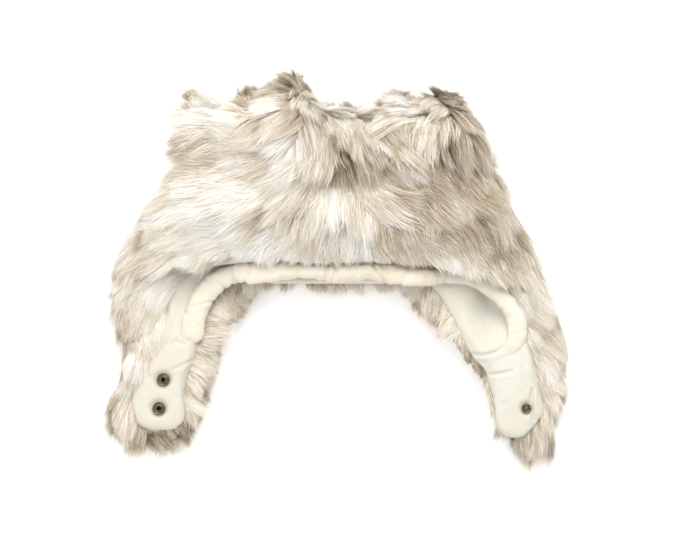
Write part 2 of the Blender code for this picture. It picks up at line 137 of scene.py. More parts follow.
# Some dark patches are painted shade, not darker hair: the whorl at (-7, 83) and (-8, 93), the step beside
# the left crest at (-81, 155), (-80, 143) and (-78, 132), the front slope of the right crest darkened against
# the key light at (91, 120), the shadow under the left end of the front pile's edge at (-104, 6) and (-86,
# 5), and the wedge between the left band and the inner fringe at (-96, -18)
DARK = (
    (-7, 83, 9, 1.7), (-8, 93, 7, 0.9), (104, 148, 16, 1.1), (120, 138, 12, 0.5), (90, 150, 9, 0.8),
    (66, 153, 5, 0.9), (43, 148, 4, 0.7), (52, 122, 12, 0.5), (-81, 155, 7, 1.4), (-80, 143, 7, 1.3),
    (-78, 132, 6, 0.9), (-136, 146, 8, 0.9), (-124, 153, 6, 0.6), (-56, 160, 16, 0.55),
    (-138, 114, 14, 1.2), (-126, 101, 12, 0.9), (-72, 160, 13, 0.45), (-41, 50, 8, 1.9), (-65, 52, 9, 1.5),
    (-28, 42, 8, 0.4), (-60, 42, 10, 0.7), (70, 66, 14, 0.9), (143, 20, 17, 1.2), (119, 38, 18, 1.3),
    (130, 62, 15, 0.9), (110, 128, 11, 0.6), (114, 110, 10, 0.3), (91, 120, 13, 0.7), (128, 80, 20, 0.8),
    (21, 91, 16, 0.9), (34, 100, 8, 1.2), (2, 118, 20, 0.85), (88, 51, 20, 0.9), (88, 84, 24, 0.8),
    (159, 2, 16, 0.8), (-104, 6, 12, 1.0), (-86, 5, 9, 0.9), (-200, -56, 14, 0.7), (-166, 88, 15, 0.5),
    (-204, -132, 12, 0.6), (-186, -158, 18, 0.2), (-204, -112, 8, 0.6), (-142, -150, 9, 1.2),
    (199, -157, 16, 0.1), (186, -121, 9, 1.2), (-96, -18, 8, 0.9), (-133, 158, 9, 1.0), (-34, 130, 10, 0.7),
    (-40, 172, 14, 0.9), (-36, 150, 14, 0.5), (-110, 109, 18, 0.4), (-118, 88, 16, 0.4), (170, -26, 8, 0.8),
    (190, -56, 12, 0.5), (84, -30, 14, 0.35), (134, -98, 9, 0.9), (142, -126, 9, 0.8), (120, -80, 8, 0.4),
    (106, -58, 8, 0.2), (-204, -70, 14, 0.7), (-198, -92, 12, 0.6), (124, 116, 12, 0.2), (112, 96, 14, 0.3),
    (-10, 100, 16, 0.6), (60, 110, 12, 0.7),
)


def smooth(t):
    t = np.clip(t, 0.0, 1.0)
    return t * t * (3.0 - 2.0 * t)


def unit(v):
    return v / np.maximum(np.linalg.norm(v, axis=-1, keepdims=True), 1e-9)


def bell(x, y, cx, cy, rx, ry):
    return np.exp(-((x - cx) / rx) ** 2 - ((y - cy) / ry) ** 2)


def boxy(c, power):
    """Cosine or sine c, drawn out so that its circle turns squarer."""
    return np.sign(c) * np.abs(c) ** power


def turned_out(n, outward):
    """Normals n, each turned to the side that outward points to."""
    return np.where((n * outward).sum(-1, keepdims=True) < 0.0, -n, n)


def add_object(name, data):
    ob = bpy.data.objects.new(name, data)
    bpy.context.scene.collection.objects.link(ob)
    return ob


def shade_smooth(mesh):
    mesh.polygons.foreach_set("use_smooth", [True] * len(mesh.polygons))


# ---- Materials ----

class Nodes:
    """Small helper to build a node material."""

    def __init__(self, name):
        self.material = bpy.data.materials.new(name)
        self.material.use_nodes = True
        self.tree = self.material.node_tree
        self.shader = self.tree.nodes["Principled BSDF"]

    def add(self, kind, **values):
        node = self.tree.nodes.new(kind)
        for key, value in values.items():
            setattr(node, key, value)
        return node

    def link(self, a, b):
        self.tree.links.new(a, b)

    def noise(self, scale, detail=3.0, rough=0.55):
        node = self.add("ShaderNodeTexNoise")
        node.inputs["Scale"].default_value = scale
        node.inputs["Detail"].default_value = detail
        node.inputs["Roughness"].default_value = rough
        self.link(self.add("ShaderNodeTexCoord").outputs["Object"], node.inputs["Vector"])
        return node.outputs["Fac"]

    def ramp(self, source, stops):
        node = self.add("ShaderNodeValToRGB")
        while len(node.color_ramp.elements) < len(stops):
            node.color_ramp.elements.new(0.5)
        for element, (place, colour) in zip(node.color_ramp.elements, stops):
            element.position = place
            element.color = (*colour, 1.0)
        self.link(source, node.inputs["Fac"])
        return node.outputs["Color"]

    def mix(self, fac, a, b):
        node = self.add("ShaderNodeMix", data_type="RGBA")
        for socket, value in ((node.inputs[0], fac), (node.inputs[6], a), (node.inputs[7], b)):
            if isinstance(value, bpy.types.NodeSocket):
                self.link(value, socket)
            else:
                socket.default_value = (*value, 1.0)
        return node.outputs[2]

    def bump(self, source, strength, distance, after=None):
        node = self.add("ShaderNodeBump")
        node.inputs["Strength"].default_value = strength
        node.inputs["Distance"].default_value = distance
        self.link(source, node.inputs["Height"])
        if after is not None:
            self.link(after, node.inputs["Normal"])
        return node.outputs["Normal"]

    def attribute(self, name):
        return self.add("ShaderNodeAttribute", attribute_name=name).outputs["Fac"]

    def set(self, **values):
        for key, value in values.items():
            socket = self.shader.inputs[key.replace("_", " ")]
            if isinstance(value, bpy.types.NodeSocket):
                self.link(value, socket)
            else:
                socket.default_value = value
        return self.material


def pile_material():
    """Strands: grey-brown at the root, partly the undercoat's own colour and partly painted shade deep in the
    pile, then the clump's own tint, paler at the tip.
    """
    n = Nodes("fur_pile")
    tint, along = n.attribute("tint"), n.attribute("along")
    body = n.ramp(tint, ((0.0, (0.95, 0.94, 0.905)), (0.30, (0.86, 0.80, 0.70)), (0.55, (0.63, 0.53, 0.395)),
                         (0.80, (0.38, 0.295, 0.185)), (1.0, (0.17, 0.125, 0.07))))
    # darker roots: partly the undercoat's own colour, partly painted shade deep in the pile
    root = n.ramp(tint, ((0.0, (0.88, 0.84, 0.77)), (0.5, (0.48, 0.385, 0.25)), (1.0, (0.13, 0.10, 0.055))))
    tip = n.ramp(tint, ((0.0, (0.96, 0.96, 0.94)), (0.5, (0.86, 0.79, 0.675)), (1.0, (0.58, 0.48, 0.36))))
    low = n.ramp(along, ((0.0, (0.0, 0.0, 0.0)), (0.42, (1.0, 1.0, 1.0))))
    high = n.ramp(along, ((0.5, (0.0, 0.0, 0.0)), (1.0, (1.0, 1.0, 1.0))))
    colour = n.mix(high, n.mix(low, root, body), tip)
    return n.set(Base_Color=colour, Roughness=0.62, Specular_IOR_Level=0.35, Sheen_Weight=0.15,
                 Sheen_Roughness=0.5)


def backing_material():
    n = Nodes("fur_backing")
    mottle = n.noise(60.0, 4.0)
    colour = n.ramp(mottle, ((0.3, (0.46, 0.39, 0.30)), (0.7, (0.62, 0.55, 0.45))))
    return n.set(Base_Color=colour, Roughness=0.95, Normal=n.bump(n.noise(900.0, 2.0), 0.6, 0.001))


def lining_material(name, pale, warm, scale=1.0):
    n = Nodes(name)
    wash = n.noise(18.0 * scale, 4.0, 0.6)
    colour = n.ramp(wash, ((0.32, warm), (0.62, pale)))
    fleck = n.noise(1400.0, 2.0, 0.7)
    colour = n.mix(n.ramp(fleck, ((0.45, (0.0, 0.0, 0.0)), (0.75, (0.10, 0.10, 0.10)))), colour, warm)
    nap = n.bump(n.noise(1500.0, 3.0, 0.75), 0.28, 0.0006)
    soft = n.bump(n.noise(110.0, 4.0, 0.6), 0.18, 0.0022, after=nap)
    return n.set(Base_Color=colour, Roughness=0.92, Sheen_Weight=0.15, Sheen_Roughness=0.6,
                 Specular_IOR_Level=0.25, Normal=soft)


def metal_material(name, dark, light, rough):
    n = Nodes(name)
    wear = n.noise(700.0, 5.0, 0.65)
    colour = n.ramp(wear, ((0.35, dark), (0.68, light)))
    return n.set(Base_Color=colour, Metallic=1.0, Roughness=rough,
                 Normal=n.bump(n.noise(2600.0, 3.0), 0.12, 0.0002))


# ---- Meshes from grids and strands ----

def mesh_object(name, verts, faces, mat):
    mesh = bpy.data.meshes.new(name)
    mesh.from_pydata([tuple(v) for v in verts], [], faces)
    mesh.update()
    mesh.materials.append(mat)
    shade_smooth(mesh)
    return add_object(name, mesh)


def grid_object(name, points, mat, wrap=False):
    """Sheet through an (n, m, 3) grid of points in mm; wrap joins the last column to the first."""
    n, m = points.shape[:2]
    cols = m if wrap else m - 1
    faces = []
    for i in range(n - 1):
        for j in range(cols):
            k = (j + 1) % m
            faces.append((i * m + j, i * m + k, (i + 1) * m + k, (i + 1) * m + j))
    return mesh_object(name, points.reshape(-1, 3) * MM, faces, mat)


def strands_object(name, path, side, width, tint, mat):
    """Ribbons along path (n, k, 3) in mm, as wide as width (n, k) along side (n, k, 3)."""
    n, k = path.shape[:2]
    half = 0.5 * width[..., None] * side
    left, right = path - half, path + half
    verts = np.empty((n, 2 * k - 1, 3))
    verts[:, 0:2 * k - 2:2] = left[:, :-1]
    verts[:, 1:2 * k - 2:2] = right[:, :-1]
    verts[:, -1] = path[:, -1]
    along = np.empty((n, 2 * k - 1))
    steps = np.linspace(0.0, 1.0, k)
    along[:, 0:2 * k - 2:2] = steps[:-1]
    along[:, 1:2 * k - 2:2] = steps[:-1]
    along[:, -1] = 1.0
    base = np.arange(n)[:, None] * (2 * k - 1)
    quads = np.stack([np.array([2 * i, 2 * i + 1, 2 * i + 3, 2 * i + 2]) for i in range(k - 2)])
    loops = [(base[:, :, None] + quads[None]).reshape(n, -1)]
    loops.append(base + np.array([2 * k - 4, 2 * k - 3, 2 * k - 2])[None])
    loops = np.concatenate(loops, axis=1).ravel()
    sizes = np.tile(np.array([4] * (k - 2) + [3]), n)
    starts = np.concatenate([[0], np.cumsum(sizes)[:-1]])
    mesh = bpy.data.meshes.new(name)
    mesh.vertices.add(verts.shape[0] * verts.shape[1])
    mesh.vertices.foreach_set("co", (verts * MM).astype(np.float32).ravel())
    mesh.loops.add(len(loops))
    mesh.loops.foreach_set("vertex_index", loops.astype(np.int32))
    mesh.polygons.add(len(sizes))
    mesh.polygons.foreach_set("loop_start", starts.astype(np.int32))
    mesh.polygons.foreach_set("use_smooth", np.ones(len(sizes), dtype=bool))
    mesh.update(calc_edges=True)
    mesh.validate()
    each = np.repeat(tint, 2 * k - 1)
    for label, values in (("tint", each), ("along", along.ravel())):
        layer = mesh.attributes.new(label, "FLOAT", "POINT")
        layer.data.foreach_set("value", values.astype(np.float32))
    uv = np.stack([0.02 + 0.96 * each, 0.02 + 0.96 * along.ravel()], axis=1)
    shift = np.tile(np.concatenate([np.tile([-0.004, 0.004], k - 1), [0.0]]), n)
    uv[:, 0] += shift
    layer = mesh.uv_layers.new(name="OFBake")
    layer.data.foreach_set("uv", uv[loops].astype(np.float32).ravel())
    mesh.materials.append(mat)
    return add_object(name, mesh)


# ---- Crown surface ----

# Top edge of the crown: x, y
TOP_EDGE = (
    (-124, 150), (-112, 147), (-100, 142), (-87, 136), (-82, 152), (-70, 155), (-60, 158), (-46, 166),
    (-38, 167), (-30, 158), (-22, 147), (-14, 142), (4, 139), (22, 138), (37, 137), (42, 147), (52, 151),
    (62, 149), (70, 147), (92, 153), (104, 149), (114, 140),
)


def half_width(y):
    """Half the crown's width at y, without its swell."""
    return np.interp(y, (-30, 0, 30, 60, 90, 115, 140), (190, 181, 164, 148, 134, 118, 108))


def side_swell(y, xs):
    """How far the sides stand out past half_width: the right one all the way up, the left one low down."""
    right = np.interp(y, (-20, 5, 20, 40, 60, 100, 115, 125, 132, 142), (0, 2, 6, 10, 9, 12, 14, 11, 8, 2))
    left = np.interp(y, (-30, 0, 20, 60, 90), (2, 4, 7, 6, 0))
    return xs * np.where(xs > 0.0, right, left)


def seam_z(y):
    return SEAM_Z + 14.0 * smooth((y - 64.0) / 86.0)


def front_rise(y):
    return FRONT_RISE * (FRONT_RISE_BRIM + FRONT_RISE_ADDED * smooth((y + 10.0) / 82.0))


def front_edge(x):
    return 17.0 - 5.0 * smooth((-x - 70.0) / 60.0) - 13.0 * smooth((x - 60.0) / 70.0)


def back_edge(x):
    side = np.maximum(smooth((-x - 58.0) / 20.0), smooth((x - 42.0) / 20.0))
    return -16.0 + 4.0 * side


def crown_top(x):
    """Outline of the crumpled top panel: a leaning crest left, a round one right, a small lobe between."""
    return np.interp(x, *zip(*TOP_EDGE))


def crown_lumps(x, y):
    """Rise of the front skin above its plain arch where the top panel stands in folds."""
    step = smooth((x + 87.0) / 7.0)
    return (12.0 * step * bell(x, y, -58, 146, 36, 26) - 8.0 * (1.0 - step) * bell(x, y, -106, 136, 26, 22)
            + 11.0 * bell(x, y, 96, 136, 30, 24) + 5.0 * bell(x, y, 53, 150, 13, 12)
            - 9.0 * bell(x, y, 30, 132, 17, 20) - 4.0 * bell(x, y, -7, 84, 16, 12)
            + 3.5 * bell(x, y, -95, 60, 50, 24) + 3.0 * bell(x, y, 60, 50, 40, 22)
            + 4.0 * bell(x, y, -44, 96, 26, 18))


def crown_point(v, turn, up=0.62, down=0.62, side=0.0, top=0.0, front_drop=0.0):
    """Point of the crown's skin: v runs from brim to top, turn 0..pi is the front."""
    c, s = np.cos(turn), np.sin(turn)
    xs = boxy(c, 0.85)
    x0 = (half_width(0.0) - side) * xs + CENTRE_X
    edge = np.where(s >= 0.0, front_edge(x0) - front_drop, back_edge(x0))
    u = np.clip((v - SHOULDER_SHARE) / (1.0 - SHOULDER_SHARE), 0.0, 1.0)
    end = crown_top((half_width(SHOULDER) - side) * 0.97 * xs + CENTRE_X) - top
    y_side = edge + (SHOULDER - edge) * np.clip(v / SHOULDER_SHARE, 0.0, 1.0)
    y = np.where(v < SHOULDER_SHARE, y_side, SHOULDER + (end - SHOULDER) * np.sin(0.5 * np.pi * u))
    close = np.cos(0.5 * np.pi * u)
    x = (half_width(np.minimum(y, SHOULDER)) - side) * xs * (1.0 - 0.03 * u * u)
    x = x + side_swell(y, xs) + CENTRE_X
    base = seam_z(y)
    lift = np.abs(s) ** 0.85
    front = base + front_rise(y) * up * lift * close
    front = front + np.where(s > 0, crown_lumps(x, y) * lift * (up / 0.62), 0.0)
    back = base - base * down * np.minimum(1.0, 1.25 * lift) * close
    return np.stack([x, y, np.where(s >= 0.0, front, back)], axis=-1)


def surface_frame(surface, a, b, eps=(0.004, 0.01)):
    """Point and outward normal of a surface at (a, b)."""
    p = surface(a, b)
    da = surface(np.clip(a + eps[0], 0, 1), b) - surface(np.clip(a - eps[0], 0, 1), b)
    db = surface(a, b + eps[1]) - surface(a, b - eps[1])
    return p, unit(np.cross(da, db))


def scatter(rng, surface, count, a_range, b_range, cells=(90, 180)):
    """Random (a, b), even over the surface's area."""
    ea = np.linspace(*a_range, cells[0] + 1)
    eb = np.linspace(*b_range, cells[1] + 1)
    ca, cb = np.meshgrid(0.5 * (ea[1:] + ea[:-1]), 0.5 * (eb[1:] + eb[:-1]), indexing="ij")
    ha, hb = ea[1] - ea[0], eb[1] - eb[0]
    da = surface(ca + 0.5 * ha, cb) - surface(ca - 0.5 * ha, cb)
    db = surface(ca, cb + 0.5 * hb) - surface(ca, cb - 0.5 * hb)
    area = np.linalg.norm(np.cross(da, db), axis=-1)
    p = area.ravel() / area.sum()
    pick = rng.choice(len(p), count, p=p)
    i, j = np.unravel_index(pick, area.shape)
    return ea[i] + ha * rng.random(count), eb[j] + hb * rng.random(count)


def comb(p):
    """Way the pile lies at points p, from the comb table, as a flat direction."""
    table = np.array(COMB, float)
    table[:, 2:] = unit(table[:, 2:])
    d2 = (p[:, None, 0] - table[None, :, 0]) ** 2 + (p[:, None, 1] - table[None, :, 1]) ** 2
    w = 1.0 / (d2 + 60.0) ** 1.6
    flat = unit((w[..., None] * table[None, :, 2:]).sum(1))
    return np.concatenate([flat, np.zeros((len(p), 1))], axis=1)


def sway(p):
    """Slow turn of the lie, in radians, which parts the pile into soft locks."""
    x, y = p[:, 0], p[:, 1]
    return (0.24 * np.sin(0.14 * x + 1.1 * np.sin(0.08 * y + 0.4)) * np.cos(0.12 * y + 0.8 * np.sin(0.05 * x))
            + 0.17 * np.sin(0.33 * x - 0.21 * y + 1.7 * np.sin(0.09 * x + 1.0)))


def tint_at(p):
    """Tint of the pile at points p, 0 pale to 1 dark."""
    x, y = p[:, 0], p[:, 1]
    value = 0.355 + 0.115 * smooth((x + 30.0) / 90.0) * smooth((y + 30.0) / 60.0)
    value = value + 0.05 * smooth((-12.0 - y) / 40.0)
    wave = (np.sin(x * 0.11 + 1.3 * np.sin(y * 0.07)) * np.sin(y * 0.13 + 0.9 * np.sin(x * 0.05 + 1.0))
            + 0.6 * np.sin(x * 0.23 + y * 0.17 + 2.0) * np.sin(y * 0.29 - x * 0.09))
    value = value + 0.08 * wave
    for cx, cy, r, amount in PALE:
        value = value - 0.24 * amount * bell(x, y, cx, cy, r, r * 0.75)
    # the dark patches include painted shade, as listed above the table
    for cx, cy, r, amount in DARK:
        value = value + 0.32 * amount * bell(x, y, cx, cy, r, r * 0.75)
    return value


def grow(rng, name, root, normal, lie, length, height, mat, spread=3.6, segments=5,
         clump=0.30, tuft=0.36, tuft_size=14.0, wild=0.11, floor=0.5, frizz=1.0, curl=0.14):
    """Pile: small clumps rooted at root, gathered into larger locks, each of many strands."""
    count = len(root)
    steps = np.linspace(0.0, 1.0, segments)
    t = steps[None, :, None]
    lie = unit(lie - (lie * normal).sum(-1, keepdims=True) * normal)
    side = unit(np.cross(normal, lie))
    turn = sway(root) + rng.normal(0.0, 0.10, count)
    lie = unit(lie + np.tan(turn)[:, None] * side)
    side = unit(np.cross(normal, lie))

    bend = rng.normal(0.0, curl, count)
    out = length[:, None, None] * (t * lie[:, None] + (bend[:, None, None] * t * t) * side[:, None])
    rise = height[:, None, None] * (1.0 - (1.0 - t) ** 2.2 - 0.30 * t ** 3)
    own = out + rise * normal[:, None]

    # gather the clumps into locks: every clump leans to the course of its lock's middle clump
    locks = max(1, int(count / tuft_size))
    lead = rng.choice(count, locks, replace=False)
    which = np.empty(count, int)
    for start in range(0, count, BATCH):
        part = root[start:start + BATCH]
        which[start:start + BATCH] = np.argmin(((part[:, None] - root[lead][None]) ** 2).sum(-1), axis=1)
    middle = lead[which]
    apart = root[middle] - root
    gap = np.linalg.norm(apart, axis=1)
    pull = (tuft * np.exp(-(gap / 18.0) ** 2))[:, None, None]
    guide = own + 0.6 * t * (own[middle] - own) + pull * t ** 1.6 * apart[:, None]
    lower = 1.0 - 0.16 * smooth(gap / 14.0)
    guide = guide * lower[:, None, None]

    tint = tint_at(root + 0.35 * length[:, None] * lie)
    lock_tint = rng.normal(0.0, 0.11, locks)[which]
    # strands near a lock's middle are made paler and those far from it darker: painted shade in the gaps
    # between locks
    tint = tint + lock_tint + rng.normal(0.0, 0.06, count) + 0.10 * (smooth(gap / 12.0) - 0.5)

    index = np.repeat(np.arange(count), STRANDS_PER_CLUMP)
    total = len(index)
    radius = spread * np.sqrt(rng.random(total))
    angle = rng.random(total) * 2.0 * np.pi
    offset = radius[:, None] * (np.cos(angle)[:, None] * lie[index] + np.sin(angle)[:, None] * side[index])
    share = 0.5 + 0.5 * rng.random(total) ** 0.7
    body = guide[index] * share[:, None, None]
    loose = rng.random(total) < wild
    hold = np.where(loose, 0.0, clump * (0.4 + 0.9 * rng.random(total)))
    path = (root[index] + offset)[:, None] + body - offset[:, None] * (hold[:, None, None] * t ** 1.2)
    swirl = rng.normal(0.0, 1.0, (total, 3))
    swirl[loose] *= 2.6
    path = path + swirl[:, None] * (frizz * t ** 1.5)
    phase = rng.random(total) * 2.0 * np.pi
    wave = np.sin(steps[None] * 4.5 + phase[:, None]) - np.sin(phase)[:, None]
    path = path + side[index][:, None] * (0.4 * frizz * wave[..., None])
    path[..., 2] = np.maximum(path[..., 2], floor + 0.8 * rng.random((total, 1)))
    across = np.repeat(side[index][:, None], segments, axis=1)
    forward = unit(np.gradient(path, axis=1))
    across = unit(across - (across * forward).sum(-1, keepdims=True) * forward)
    w = STRAND_WIDTH * (0.7 + 0.6 * rng.random((total, 1))) * (1.0 - 0.75 * steps[None] ** 1.8)
    shade = np.clip(tint[index] + rng.normal(0.0, 0.15, total), 0.0, 1.0)

    # pieces of at most PIECE_TRIANGLES triangles, side by side; pieces of a size that
    # an STL holds without thinning, side by side
    most = PIECE_TRIANGLES // (2 * segments - 3)
    pieces = -(-total // most)
    order = np.argsort(root[index][:, 0], kind="stable")
    made = []
    for number, part in enumerate(np.array_split(order, pieces), 1):
        label = name if pieces == 1 else f"{name}_{number}"
        made.append(strands_object(label, path[part], across[part], w[part], shade[part], mat))
    return made


def edge_line(x):
    """Where the tips of the front pile end above the forehead roll."""
    return np.interp(x, (-200, -140, -122, -85, -46, -11, 41, 68, 103, 120, 151, 175),
                     (-60, -5, 3, 6, 4, 2.5, 4, 0, -5, -8, -22, -50))


def crown_pile(mat):
    """The crown's pile: front, top and back."""
    made = []
    rng = np.random.default_rng(11)
    parts = (
        ("crown_pile_front_left", 2900, (0.0, 0.86), (0.5 * np.pi, np.pi), 1.0),
        ("crown_pile_front_right", 2700, (0.0, 0.86), (0.0, 0.5 * np.pi), 1.0),
        ("crown_pile_top_front", 1700, (0.80, 1.0), (0.0, np.pi), 0.6),
        ("crown_pile_top_back", 900, (0.80, 1.0), (np.pi, 2.0 * np.pi), 0.6),
        ("crown_pile_back_left", 900, (0.0, 0.84), (np.pi, 1.5 * np.pi), 0.9),
        ("crown_pile_back_right", 900, (0.0, 0.84), (1.5 * np.pi, 2.0 * np.pi), 0.9),
    )
    for name, count, v_range, turn_range, reach in parts:
        v, turn = scatter(rng, crown_point, count, v_range, turn_range)
        p, n = surface_frame(crown_point, v, turn)
        outward = unit(p - np.array([CENTRE_X, 60.0, 48.0]))
        n = turned_out(n, outward)
        lie = comb(p)
        facing = smooth((n[:, 2] + 0.15) / 0.5)[:, None]
        aside = (p[:, 0] - CENTRE_X) / 120.0
        upright = (p[:, 1] > 112.0) & (p[:, 0] < 100.0)
        outer = smooth((np.abs(aside) - 0.55) / 0.45)
        fall = unit(np.stack([0.8 * np.sign(aside) * outer, np.where(upright, 1.0, -0.55),
                              np.full(count, -0.35)], axis=1))
        lie = unit(lie * facing + fall * (1.0 - facing))
        length = (40.0 + 14.0 * rng.random(count)) * reach
        height = (9.0 + 7.0 * rng.random(count)) * (0.5 + 0.5 * reach)
        whorl = bell(p[:, 0], p[:, 1], -5, 84, 13, 11)
        length = length * (1.0 - 0.45 * whorl)
        height = np.where(n[:, 2] < -0.3, 9.0, height * (1.0 - 0.25 * whorl))
        if "front" in name:
            tip_x = p[:, 0] + 20.0 * lie[:, 0]
            limit = (p[:, 1] - edge_line(tip_x)) / np.maximum(-lie[:, 1], 0.12)
            length = np.clip(np.minimum(length, limit + rng.normal(2.0, 2.5, count)), 8.0, 60.0)
            height = height * (0.42 + 0.58 * smooth(length / 34.0))
        if name in ("crown_pile_back_left", "crown_pile_back_right"):
            limit = (p[:, 1] + 24.0) / np.maximum(-lie[:, 1], 0.15)
            length = np.clip(np.minimum(length, limit + rng.normal(2.0, 3.0, count)), 9.0, 60.0)
        made += grow(rng, name, p, n, lie, length, height, mat)
    return made


# ---- Ear flaps ----

# Padded lining: y, outer edge x, inner edge x
LEFT_LINING = (
    (4.0, -134.0, -88.0), (-10.0, -148.0, -98.0), (-26.0, -157.0, -114.0), (-42.0, -163.0, -122.0),
    (-56.0, -166.0, -126.0), (-72.0, -169.0, -128.0), (-86.0, -180.0, -131.0), (-105.0, -188.5, -138.0),
    (-120.0, -192.0, -140.5), (-133.0, -191.5, -141.5), (-141.0, -188.5, -143.5), (-147.0, -183.0, -148.0),
    (-151.0, -175.0, -155.0),
)
RIGHT_LINING = (
    (4.0, 134.0, 76.0), (-14.0, 146.0, 81.0), (-30.0, 160.0, 94.0), (-45.0, 171.0, 103.0),
    (-58.0, 178.0, 110.0), (-74.0, 183.0, 117.0), (-87.0, 186.0, 125.0), (-97.0, 188.0, 134.5),
    (-108.0, 190.0, 138.5), (-119.0, 191.5, 141.5), (-133.0, 193.0, 145.5), (-143.0, 187.0, 148.5),
    (-150.0, 181.5, 151.5), (-155.5, 176.0, 156.5), (-158.5, 170.0, 161.0),
)


def spline(rows, t, column):
    """Smooth value of one column of a table with rising first column, at t."""
    xs = np.array([r[0] for r in rows], float)
    ys = np.array([r[column] for r in rows], float)
    slope = np.gradient(ys, xs)
    k = np.clip(np.searchsorted(xs, t, side="right") - 1, 0, len(xs) - 2)
    h = xs[k + 1] - xs[k]
    u = np.clip((t - xs[k]) / h, 0.0, 1.0)
    return ((2 * u ** 3 - 3 * u ** 2 + 1) * ys[k] + (u ** 3 - 2 * u ** 2 + u) * h * slope[k]
            + (3 * u ** 2 - 2 * u ** 3) * ys[k + 1] + (u ** 3 - u ** 2) * h * slope[k + 1])


def edges_at(rows, y):
    table = [(-r[0], r[1], r[2]) for r in rows]
    return spline(table, -np.asarray(y, float), 1), spline(table, -np.asarray(y, float), 2)


def line_distance(x, y, points):
    """Distance from (x, y) to a polyline, and the share of its length at the nearest point."""
    best = np.full(np.shape(x), 1e9)
    where = np.zeros(np.shape(x))
    pts = np.array(points, float)
    seg = np.linalg.norm(np.diff(pts, axis=0), axis=1)
    total, done = seg.sum(), 0.0
    for (ax, ay), (bx, by), length in zip(pts[:-1], pts[1:], seg):
        t = np.clip(((x - ax) * (bx - ax) + (y - ay) * (by - ay)) / length ** 2, 0.0, 1.0)
        d = np.hypot(x - ax - t * (bx - ax), y - ay - t * (by - ay))
        closer = d < best
        best = np.where(closer, d, best)
        where = np.where(closer, (done + t * length) / total, where)
        done += length
    return best, where


def crease(x, y, points, depth, width, swell=0.35):
    """Fold line pressed into cloth, with a low swell either side, fading at its ends."""
    d, t = line_distance(x, y, points)
    fade = np.clip(np.minimum(t, 1.0 - t) / 0.18, 0.0, 1.0) ** 0.6
    beside = np.exp(-((d - 2.4 * width) / (1.3 * width)) ** 2)
    return fade * depth * (-np.exp(-(d / width) ** 2) + swell * beside)


def pad_level(y):
    """Height of the padded lining down the middle of a flap."""
    t = (HINGE_Y - y) / FLAP_REACH
    return 31.0 + 9.0 * smooth(t / 0.42)


# Fold lines pressed into the linings: points, depth and width in mm
LEFT_CREASES = (
    (((-176, -92), (-175, -106)), 1.6, 1.3), (((-128, -84), (-140, -90), (-154, -97)), 1.0, 1.4),
    (((-178, -90), (-168, -78), (-156, -68)), 0.9, 2.6), (((-148, -66), (-158, -78)), 0.8, 2.2),
    (((-152, -70), (-140, -73)), 1.0, 1.6), (((-164, -30), (-156, -52), (-157, -62)), 0.7, 2.0),
    (((-178, -118), (-174, -108)), 0.5, 1.6), (((-143, -124), (-152, -120)), 0.4, 1.8),
)
RIGHT_CREASES = (
    (((122, -81), (135, -83), (148, -80), (158, -74)), 1.7, 1.5),
    (((139, -101), (150, -100), (164, -97)), 1.3, 1.5), (((170, -92), (172, -104), (177, -118)), 1.0, 1.5),
    (((181, -112), (179, -130), (183, -146)), 2.0, 1.8), (((128, -90), (140, -88)), 0.7, 2.4),
    (((150, -130), (160, -126)), 0.4, 2.0), (((176, -62), (181, -84)), 0.8, 1.6),
)


# Where a lining dips: x, y, how far it reaches along each, and the depth in mm
LEFT_HOLLOW = (-152.0, -34.0, 8.0, 26.0, 1.5)
RIGHT_HOLLOW = (142.0, -41.0, 17.0, 23.0, 15.0)


def still_noise(points, size, seed):
    """Smooth noise, about -1 to 1, at points (n, 3) in mm with bumps of the given size."""
    shift = Vector((17.3 * seed, 5.1 * seed, 9.7))
    return np.array([noise.noise(Vector(p) / size + shift) for p in points]) * 1.6


def only_active(ob):
    for other in bpy.context.selected_objects:
        other.select_set(False)
    bpy.context.view_layer.objects.active = ob
    ob.select_set(True)


def read_points(ob):
    """Vertex places in mm and normals."""
    co, no = np.empty((2, len(ob.data.vertices) * 3))
    ob.data.vertices.foreach_get("co", co)
    ob.data.vertices.foreach_get("normal", no)
    return co.reshape(-1, 3) / MM, no.reshape(-1, 3)


def write_points(ob, points):
    ob.data.vertices.foreach_set("co", (points * MM).astype(np.float32).ravel())
    ob.data.update()


def puff(ob, voxel, cap, pressure=4.0, grow_cloth=0.0):
    """Stuff a closed piece by a short cloth simulation under pressure, then refine its mesh."""
    only_active(ob)
    remesh = ob.modifiers.new("even", "REMESH")
    remesh.mode = "VOXEL"
    remesh.voxel_size = voxel * MM
    bpy.ops.object.modifier_apply(modifier=remesh.name)
    before, _ = read_points(ob)
    cloth = ob.modifiers.new("stuffing", "CLOTH")
    cloth.settings.quality = 6
    cloth.settings.mass = 0.15
    cloth.settings.use_pressure = True
    cloth.settings.uniform_pressure_force = pressure
    cloth.settings.shrink_min = -grow_cloth
    cloth.settings.effector_weights.gravity = 0.0
    cloth.collision_settings.use_self_collision = False
    cloth.point_cache.frame_start, cloth.point_cache.frame_end = 1, STUFFING_FRAMES
    for frame in range(1, STUFFING_FRAMES + 1):
        bpy.context.scene.frame_set(frame)
    bpy.ops.object.modifier_apply(modifier=cloth.name)
    bpy.context.scene.frame_set(1)
    after, _ = read_points(ob)
    move = after - before
    far = np.linalg.norm(move, axis=1, keepdims=True)
    write_points(ob, before + move * np.minimum(1.0, cap / np.maximum(far, 1e-6)))
    finer = ob.modifiers.new("finer", "SUBSURF")
    finer.levels = finer.render_levels = 1
    bpy.ops.object.modifier_apply(modifier=finer.name)
    shade_smooth(ob.data)


def weld(ob):
    """Join points that coincide and turn the faces outward."""
    bm = bmesh.new()
    bm.from_mesh(ob.data)
    bmesh.ops.remove_doubles(bm, verts=bm.verts, dist=1e-7)
    bmesh.ops.recalc_face_normals(bm, faces=bm.faces)
    bm.to_mesh(ob.data)
    bm.free()
    return ob


